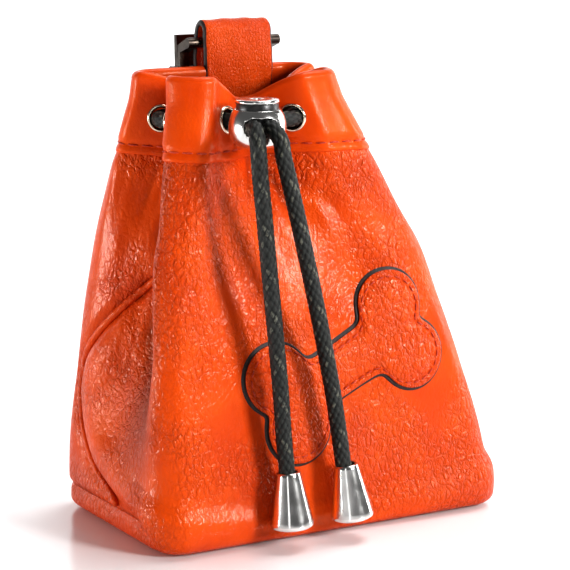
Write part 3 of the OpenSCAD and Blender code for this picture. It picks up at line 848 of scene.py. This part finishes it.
# ---------------------------------------------------------------- stitches
def stitches(name, line, normals, length, gap, radius, bow=0.25):
    """A row of short raised stitches along a line, each bowed up a little out of the leather."""
    line, normals = np.asarray(line), np.asarray(normals)
    far = np.r_[0, np.cumsum(np.linalg.norm(np.diff(line, axis=0), axis=1))]
    points, faces = [], []
    count = int(far[-1] // (length + gap))
    for k in range(count):
        start = k * far[-1] / count
        at = start + np.linspace(0, length, 7)
        p = np.stack([np.interp(at, far, line[:, c]) for c in range(3)], 1)
        n = unit(np.stack([np.interp(at, far, normals[:, c]) for c in range(3)], 1))
        p = p + n * (bow * np.sin(np.linspace(0, np.pi, 7)) - 0.5 * bow)[:, None]
        tp, tf = tube(p, radius * np.array([0.55, 0.85, 1, 1, 1, 0.85, 0.55]), 8)
        faces += [[c + len(points) for c in f] for f in tf]
        points += tp.tolist()
    return piece(name, points, faces, [thread_mat], "pouch")


u_line = np.linspace(0, 1, 700)
z_line = hem_height(u_line) + 1.5
n_line = wall_normal(u_line, z_line)
hem_line = wall(u_line, z_line) + n_line * (0.25 + band_out(u_line, z_line))[:, None]
hem_stitch = stitches("hem_stitches", hem_line, n_line, 3.0, 1.0, 0.26)

# ---------------------------------------------------------------- bone patch
BONE_CENTRE = (3.0, 47.5)
BONE_TILT = math.radians(24)


def bone_outline(grow=0.0):
    """The bone's edge and, for each of its points, the point of its middle line that it belongs to."""
    knob, kx, ky, bar = 10.0, 21.0, 8.0, 7.5
    notch = math.sqrt(knob**2 - ky**2)
    first = np.linspace(-math.atan2(ky, notch), math.radians(177), 60)
    arc = np.stack([kx + knob * np.cos(first), ky + knob * np.sin(first)], 1)
    side = np.stack([np.linspace(10.6, 0, 14)[1:], np.full(13, bar)], 1)
    quarter = np.vstack([arc, side])
    top = np.vstack([quarter, (quarter * (-1, 1))[::-1][1:]])
    whole = np.vstack([top[:-1], (top * (1, -1))[::-1][:-1]])
    far = np.r_[0, np.cumsum(np.linalg.norm(np.diff(np.vstack([whole, whole[:1]]), axis=0), axis=1))]
    at = np.linspace(0, far[-1], 241)[:-1]
    ring = np.vstack([whole, whole[:1]])
    p = np.stack([np.interp(at, far, ring[:, c]) for c in range(2)], 1)
    kernel = np.array([1, 3, 5, 6, 5, 3, 1.0])
    kernel /= kernel.sum()
    for _ in range(2):
        p = sum(w * np.roll(p, s, axis=0) for s, w in zip(range(-3, 4), kernel))
    d = unit(np.roll(p, -1, axis=0) - np.roll(p, 1, axis=0))
    p = p + grow * np.stack([d[:, 1], -d[:, 0]], 1)
    spine = np.stack([np.clip(p[:, 0] * 0.86, -19, 19), 0 * p[:, 0]], 1)
    return p, spine


front_tree = BVHTree.FromPolygons([Vector(p) for p in skin.reshape(-1, 3)], [list(map(int, f)) for f in corner])


def on_front(flat_points, rise):
    """Flat points of the front, laid on the leather and raised from it."""
    c, s = math.cos(BONE_TILT), math.sin(BONE_TILT)
    flat_points = np.asarray(flat_points)
    x = BONE_CENTRE[0] + c * flat_points[:, 0] - s * flat_points[:, 1]
    z = BONE_CENTRE[1] + s * flat_points[:, 0] + c * flat_points[:, 1]
    rise = np.broadcast_to(rise, x.shape)
    out = []
    for px, pz, r in zip(x, z, rise):
        hit, normal, _, _ = front_tree.ray_cast(Vector((px, -80, pz)), Vector((0, 1, 0)))
        soft = Vector((0, -1, 0.12)) * 0.55 + normal * (-0.45 if normal.y > 0 else 0.45)
        out.append(np.array(hit) + np.array(soft.normalized()) * r)
    return np.array(out)


def patch_piece(name, grow, bottom, top, mats, stands_for, puff=0.0, groove=0.0):
    edge, spine = bone_outline(grow)
    reach = np.linalg.norm(edge - spine, axis=1)
    rings = []
    steps = np.linspace(0.04, 1, 22)
    for s in steps:
        inside = (1 - s) * reach
        h = top - 0.45 * np.exp(-((inside / 0.55) ** 2)) - groove * np.exp(-(((inside - 1.9) / 0.55) ** 2))
        h = h + puff * step_up(inside, 2.4, 6)
        rings.append(on_front(spine + (edge - spine) * s, h))
    for rise in (0.55 * (top + bottom), bottom):
        rings.append(on_front(edge + unit(edge - spine) * 0.06, rise))
    back_rings = [on_front(spine + (edge - spine) * s, bottom) for s in (0.66, 0.33, 0.04)]
    n = len(edge)
    points = np.vstack(rings + back_rings)
    faces = [list(f) for f in grid_faces(len(rings) + len(back_rings), n, wrap_columns=True)]
    side = len(steps) - 1
    which = [1 if side <= k // n <= side + 1 else 0 for k in range(len(faces))]
    # the middle line's two halves meet, so the middle is closed by joining opposite points
    for start in (0, (len(rings) + len(back_rings) - 1) * n):
        for k in range(n // 2):
            a, b, c2, d = k, (k + 1) % n, n - 1 - k, (n - k) % n
            face = [start + a, start + b, start + c2, start + d]
            if len(set(face)) == 4:
                faces.append(face if start else face[::-1])
                which.append(0)
    made = piece(name, points, faces, mats, "pouch", stands_for, which=which)
    return tidy_normals(made)


underlay = patch_piece(
    "bone_underlay", 0.9, -0.5, 0.45, [edge_black, edge_black], ("applique_underlay",),
)
bone = patch_piece(
    "bone_patch", 0.0, 0.2, 1.45, [patch, edge_black], ("bone_applique",), puff=0.35, groove=0.35,
)
stitch_edge, stitch_spine = bone_outline(0.0)
inward = unit(stitch_spine - stitch_edge)
loop = np.vstack([stitch_edge + inward * 1.9, (stitch_edge + inward * 1.9)[:1]])
bone_line = on_front(loop, 1.32)
bone_normals = np.tile((0.0, -1.0, 0.1), (len(bone_line), 1))
bone_stitch = stitches("bone_stitches", bone_line, bone_normals, 2.0, 0.8, 0.24)


# ---------------------------------------------------------------- strap
STRAP_X, STRAP_W, STRAP_T = -8.0, 22.0, 1.8


def strap():
    """A strip folded over the clip's bar, one foot inside the back wall and one outside it."""
    arc = [(17 - 2.75 * math.cos(a), 139.3 + 2.75 * math.sin(a)) for a in np.linspace(0, math.pi, 13)]
    route = [(14.6, 109.5), (14.45, 114), (14.2, 120), (13.9, 126), (13.75, 131), (13.9, 135)] + arc
    route += [(20.1, 135), (20.2, 131), (19.9, 126), (19.7, 120), (19.7, 114), (19.7, 110.5)]
    line = spline([(STRAP_X, y, z) for y, z in route], 0.8)
    along = unit(np.gradient(line, axis=0))
    normal = np.cross((1.0, 0, 0), along)
    across = STRAP_W / 2
    t = STRAP_T / 2
    section = [(-across, -0.5), (-across, 0.5), (-across + 0.5, 0.95), (-across + 1.4, 1.0)]
    section += [(x, 1.0) for x in np.linspace(-across + 2.5, across - 2.5, 14)]
    section += [(across - 1.4, 1.0), (across - 0.5, 0.95), (across, 0.5), (across, -0.5), (across - 0.5, -0.95)]
    section += [(x, -1.0) for x in np.linspace(across - 2.5, -across + 2.5, 10)] + [(-across + 0.5, -0.95)]
    section = np.array(section)
    rows = []
    for k, (p, nrm) in enumerate(zip(line, normal)):
        wobble = 0.22 * math.sin(k * 0.31) + 0.12 * math.sin(k * 0.83 + 1)
        narrow = 1 - 0.012 * math.sin(k * 0.17)
        x = section[:, 0] * narrow
        soft = 0.25 * np.cos(np.pi * x / STRAP_W) + 0.10 * np.sin(x * 0.9 + k * 0.25) * (np.abs(section[:, 1]) > 0.9)
        rows.append(p + np.outer(x + wobble * 0.4, (1, 0, 0)) + np.outer(section[:, 1] * t + soft, nrm))
    points = np.array(rows).reshape(-1, 3)
    n = len(section)
    faces = [list(f) for f in grid_faces(len(rows), n, wrap_columns=True)]
    sides = {0, 1, 19, 20, 21, n - 1}
    which = [1 if k % n in sides else 0 for k in range(len(faces))]
    faces += [list(range(n))[::-1], list(range(len(points) - n, len(points)))]
    which += [1, 1]
    mats = [strap_hide, edge_black]
    made = piece("hanger_strap_leather", points, faces, mats, "pouch", ("hanger_strap",), which=which)
    return tidy_normals(made)


strap_piece = strap()

# ---------------------------------------------------------------- lock
LOCK_AT = np.array((-22.0, -22.5, 110.7))
TURN = math.radians(-20)
LOCK_X = np.array((math.cos(TURN), math.sin(TURN), 0))
LOCK_Y = np.array((-math.sin(TURN), math.cos(TURN), 0))
UP = np.array((0, 0, 1.0))


def lock():
    shell = [(0.6, 0.0), (4.2, 0.0), (5.6, 0.25), (6.9, 1.3), (7.7, 3.0), (8.0, 5.0), (7.95, 7.0), (7.5, 8.9), (6.9, 10.1),
             (6.45, 10.75), (6.2, 10.7), (6.15, 10.2), (6.15, 9.0), (6.15, 2.0), (6.15, 1.4), (5.9, 1.2), (0.6, 1.2)]
    points, faces = lathe(rounded(shell, 1), 96)
    points = placed(points, LOCK_AT, LOCK_X, LOCK_Y, UP)
    made = tidy_normals(piece("lock_shell", points, faces, [chrome], "lock", ("lock_body",)))
    slot_half, r = 2.35, 2.45
    a = np.linspace(-np.pi / 2, np.pi / 2, 13)
    end = np.stack([slot_half + r * np.cos(a), r * np.sin(a)], 1)
    ring = np.vstack([end, -end])
    n = len(ring)
    pts = [(x, y, 6.3 + z) for y in (-12.0, 12.0) for x, z in ring]
    faces = [[k, (k + 1) % n, n + (k + 1) % n, n + k] for k in range(n)] + [list(range(n))[::-1], list(range(n, 2 * n))]
    return cut(made, placed(np.array(pts), LOCK_AT, LOCK_X, LOCK_Y, UP), faces)


lock()
button_profile = [(0.5, 4.5), (5.5, 4.5), (5.9, 4.9), (5.9, 12.2), (5.7, 12.5), (0.5, 12.5)]
points, faces = lathe(rounded(button_profile, 1), 64)
points = placed(points, LOCK_AT, LOCK_X, LOCK_Y, UP)
piece("lock_button_post", points, faces, [cap_black], "button", ("lock_button",))
cap_profile = [
    (0.05, 12.5), (5.7, 12.45), (6.15, 12.6), (6.25, 12.95), (6.05, 13.35), (5.5, 13.5), (3.4, 13.42), (0.05, 13.35),
]
points, faces = lathe(cap_profile, 64)
points = placed(points, LOCK_AT, LOCK_X, LOCK_Y, UP)
piece("lock_button_cap", points, faces, [chrome], "button")

# ---------------------------------------------------------------- CAD metalwork that is shown as it is
METALWORK = {
    "clip_plate": bronze, "clip_lever": bronze, "clip_pin": bronze,
    "clip_spring": spring_steel, "lock_spring": spring_steel,
}
for node, mat in METALWORK.items():
    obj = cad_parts[node]
    for slot in obj.material_slots:
        slot.link = "OBJECT"
        slot.material = mat
    if node in ("clip_plate", "clip_lever"):
        soft = obj.modifiers.new("soft_edges", "BEVEL")
        soft.width, soft.segments, soft.limit_method = 0.25 * MM, 2, "ANGLE"


# ---------------------------------------------------------------- studio
def stage_mesh(name, points, faces, mat):
    mesh = bpy.data.meshes.new(name)
    mesh.from_pydata(points, [], faces)
    mesh.materials.append(mat)
    obj = bpy.data.objects.new(name, mesh)
    scene.collection.objects.link(obj)
    return obj


def floor_stuff():
    m = Nodes("studio_floor")
    haze = m.noise(3.0, 2.0, 0.5)
    m.mottled(m.ramp(haze, 0.3, 0.7), (0.93, 0.93, 0.93, 1), (0.90, 0.90, 0.905, 1))
    m.link(m.ramp(haze, 0.2, 0.8, 0.16, 0.22), m.shader.inputs["Roughness"])
    m.shader.inputs["Specular IOR Level"].default_value = 0.45
    return m.mat


def glow_stuff():
    m = Nodes("backdrop_glow")
    m.link(m.mix(m.noise(0.8), (1.0, 1.0, 1.0, 1), (0.97, 0.97, 0.98, 1)), m.shader.inputs["Emission Color"])
    m.shader.inputs["Emission Strength"].default_value = 1.25
    m.shader.inputs["Base Color"].default_value = (0.8, 0.8, 0.8, 1)
    return m.mat


BACKDROP = [(-2.2, 3.0, 0), (4.8, 0.6, 0), (4.8, 0.6, 1.6), (-2.2, 3.0, 1.6)]
stage_mesh("backdrop", BACKDROP, [(0, 1, 2, 3)], glow_stuff())
stage_mesh("floor", [(-3, -3, 0), (3, -3, 0), (3, 3, 0), (-3, 3, 0)], [(0, 1, 2, 3)], floor_stuff())


def lamp(name, place, aim, width, height, power, colour=(1, 1, 1)):
    data = bpy.data.lights.new(name, "AREA")
    data.shape, data.size, data.size_y, data.energy, data.color = "RECTANGLE", width, height, power, colour
    obj = bpy.data.objects.new(name, data)
    scene.collection.objects.link(obj)
    obj.location = place
    obj.rotation_euler = (Vector(aim) - Vector(place)).to_track_quat("-Z", "Y").to_euler()


def sun(name, direction, strength, spread):
    data = bpy.data.lights.new(name, "SUN")
    data.energy, data.angle = strength, math.radians(spread)
    obj = bpy.data.objects.new(name, data)
    scene.collection.objects.link(obj)
    obj.rotation_euler = Vector(direction).to_track_quat("-Z", "Y").to_euler()


sun("sky", (-0.40, -0.05, -1.0), 1.8, 30)
lamp("key", (0.42, -0.95, 0.46), (0, 0, 0.05), 0.24, 0.34, 11)
lamp("left_rim", (-0.85, 0.30, 0.06), (-0.05, 0, 0.0), 0.30, 0.1, 4.0)
lamp("front_left", (-0.70, -0.75, 0.30), (0, 0, 0.07), 0.08, 0.6, 0.45)
lamp("right_rim", (0.85, -0.10, 0.16), (0.04, 0, 0.05), 0.12, 0.6, 3.0)
world = bpy.data.worlds.new("studio")
world.use_nodes = True
world.node_tree.nodes["Background"].inputs["Color"].default_value = (1, 1, 1, 1)
world.node_tree.nodes["Background"].inputs["Strength"].default_value = 0.09
scene.world = world
scene.view_settings.view_transform = "Standard"
scene.view_settings.look = "Medium High Contrast"
